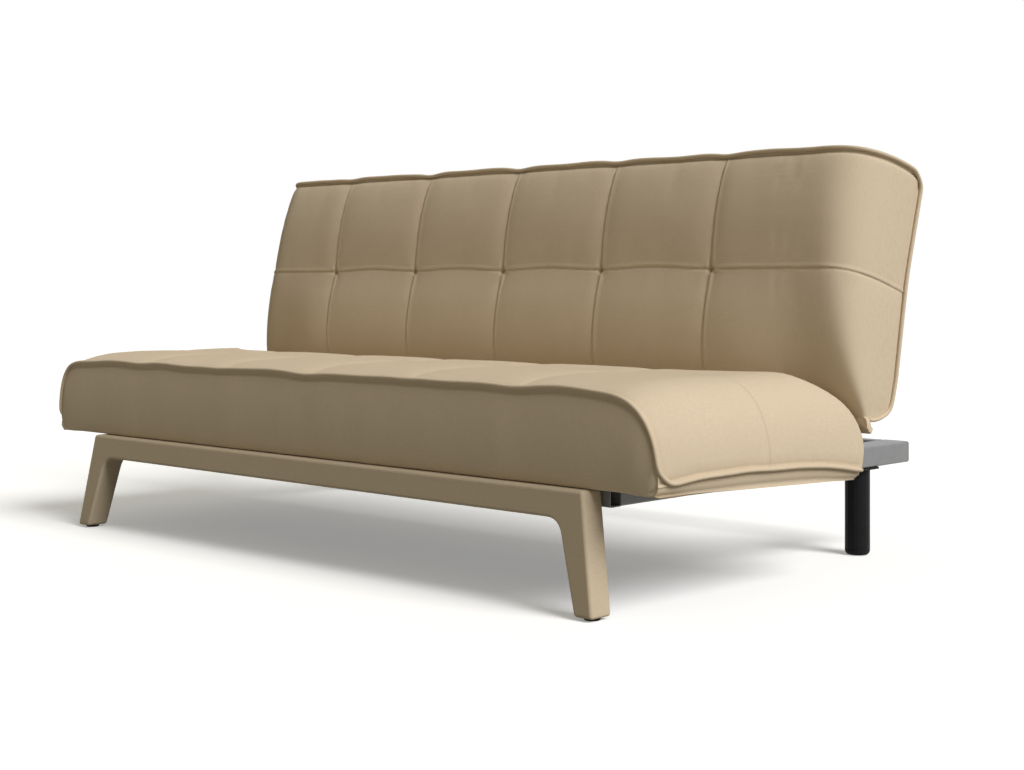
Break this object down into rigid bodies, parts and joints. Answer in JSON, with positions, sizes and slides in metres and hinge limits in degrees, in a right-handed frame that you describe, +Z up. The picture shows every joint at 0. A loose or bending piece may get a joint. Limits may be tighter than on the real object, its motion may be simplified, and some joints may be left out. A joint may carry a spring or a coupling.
{
  "type": "click clack sofa bed",
  "caption": "Armless click clack sofa bed: tufted seat and reclining back on a steel base with splayed front legs and round rear legs; the back locks upright, at lounge and flat.",
  "frame": {"origin": "on the floor, below the middle of the sofa's box in the sofa position", "axes": "+X along the sofa's length, +Y from the front to the rear, +Z up"},
  "size_m": [1.768, 1.0267, 0.805],
  "materials": {
    "cushion_fabric": "matte",
    "wrapped_timber": "matte",
    "black_plastic": "satin",
    "grey_plastic": "satin",
    "grey_steel": "satin",
    "black_steel": "satin",
    "zinc_steel": "satin",
    "timber": "matte",
    "lining": "matte"
  },
  "bodies": {
    "back": {"back_cushion": "cushion_fabric", "back_frame_centre_member": "timber", "back_frame_end_member_left": "timber", "back_frame_end_member_right": "timber", "back_frame_lower_member": "timber", "back_frame_top_member": "timber", "back_rear_cover": "lining", "back_spring_1": "zinc_steel", "back_spring_2": "zinc_steel", "back_spring_3": "zinc_steel", "back_spring_4": "zinc_steel", "hinge_back_arm_left": "zinc_steel", "hinge_back_arm_right": "zinc_steel", "hinge_sleeve_left": "cushion_fabric", "hinge_sleeve_right": "cushion_fabric"},
    "base": {"base_front_rail": "grey_steel", "base_middle_rail": "grey_steel", "base_rail_cap_left": "grey_plastic", "base_rail_cap_right": "grey_plastic", "base_rear_rail": "grey_steel", "base_side_rail_left": "grey_steel", "base_side_rail_right": "grey_steel", "front_apron_rail": "wrapped_timber", "front_leg_bolt_left": "zinc_steel", "front_leg_bolt_right": "zinc_steel", "front_leg_glide_left": "black_plastic", "front_leg_glide_right": "black_plastic", "front_leg_left": "wrapped_timber", "front_leg_right": "wrapped_timber", "hinge_base_bracket_left": "zinc_steel", "hinge_base_bracket_right": "zinc_steel", "hinge_pivot_pin_left": "zinc_steel", "hinge_pivot_pin_right": "zinc_steel", "pawl_pin_left": "zinc_steel", "pawl_pin_right": "zinc_steel", "rear_leg_foot_left": "black_plastic", "rear_leg_foot_right": "black_plastic", "rear_leg_left": "black_steel", "rear_leg_plate_left": "black_steel", "rear_leg_plate_right": "black_steel", "rear_leg_right": "black_steel"},
    "seat": {"hinge_seat_arm_left": "zinc_steel", "hinge_seat_arm_right": "zinc_steel", "seat_cushion": "cushion_fabric", "seat_dust_cover": "lining", "seat_frame_centre_member": "timber", "seat_frame_end_member_left": "timber", "seat_frame_end_member_right": "timber", "seat_frame_front_member": "timber", "seat_frame_rear_member": "timber", "seat_spring_1": "zinc_steel", "seat_spring_2": "zinc_steel", "seat_spring_3": "zinc_steel", "seat_spring_4": "zinc_steel"},
    "pawl_left": {"locking_pawl_left": "zinc_steel", "pawl_spring_left": "zinc_steel"},
    "pawl_right": {"locking_pawl_right": "zinc_steel", "pawl_spring_right": "zinc_steel"}
  },
  "joints": [
    {"name": "back_recline", "type": "hinge", "parent": "base", "child": "back", "pos_m": [0, 0.0975, 0.268], "axis": [-1, 0, 0], "range_deg": [0, 73.75]},
    {"name": "seat_lift", "type": "hinge", "parent": "base", "child": "seat", "pos_m": [0, 0.0975, 0.268], "axis": [-1, 0, 0], "range_deg": [0, 6]},
    {"name": "pawl_turn_right", "type": "hinge", "parent": "base", "child": "pawl_right", "pos_m": [0, 0.0455, 0.246], "axis": [-1, 0, 0], "range_deg": [0, 15]},
    {"name": "pawl_turn_left", "type": "hinge", "parent": "base", "child": "pawl_left", "pos_m": [0, 0.0455, 0.246], "axis": [-1, 0, 0], "range_deg": [0, 15]}
  ],
  "couplings": [
    {"joint": "pawl_turn_right", "follows": "seat_lift", "ratio": 2.45},
    {"joint": "pawl_turn_left", "follows": "seat_lift", "ratio": 2.45}
  ]
}
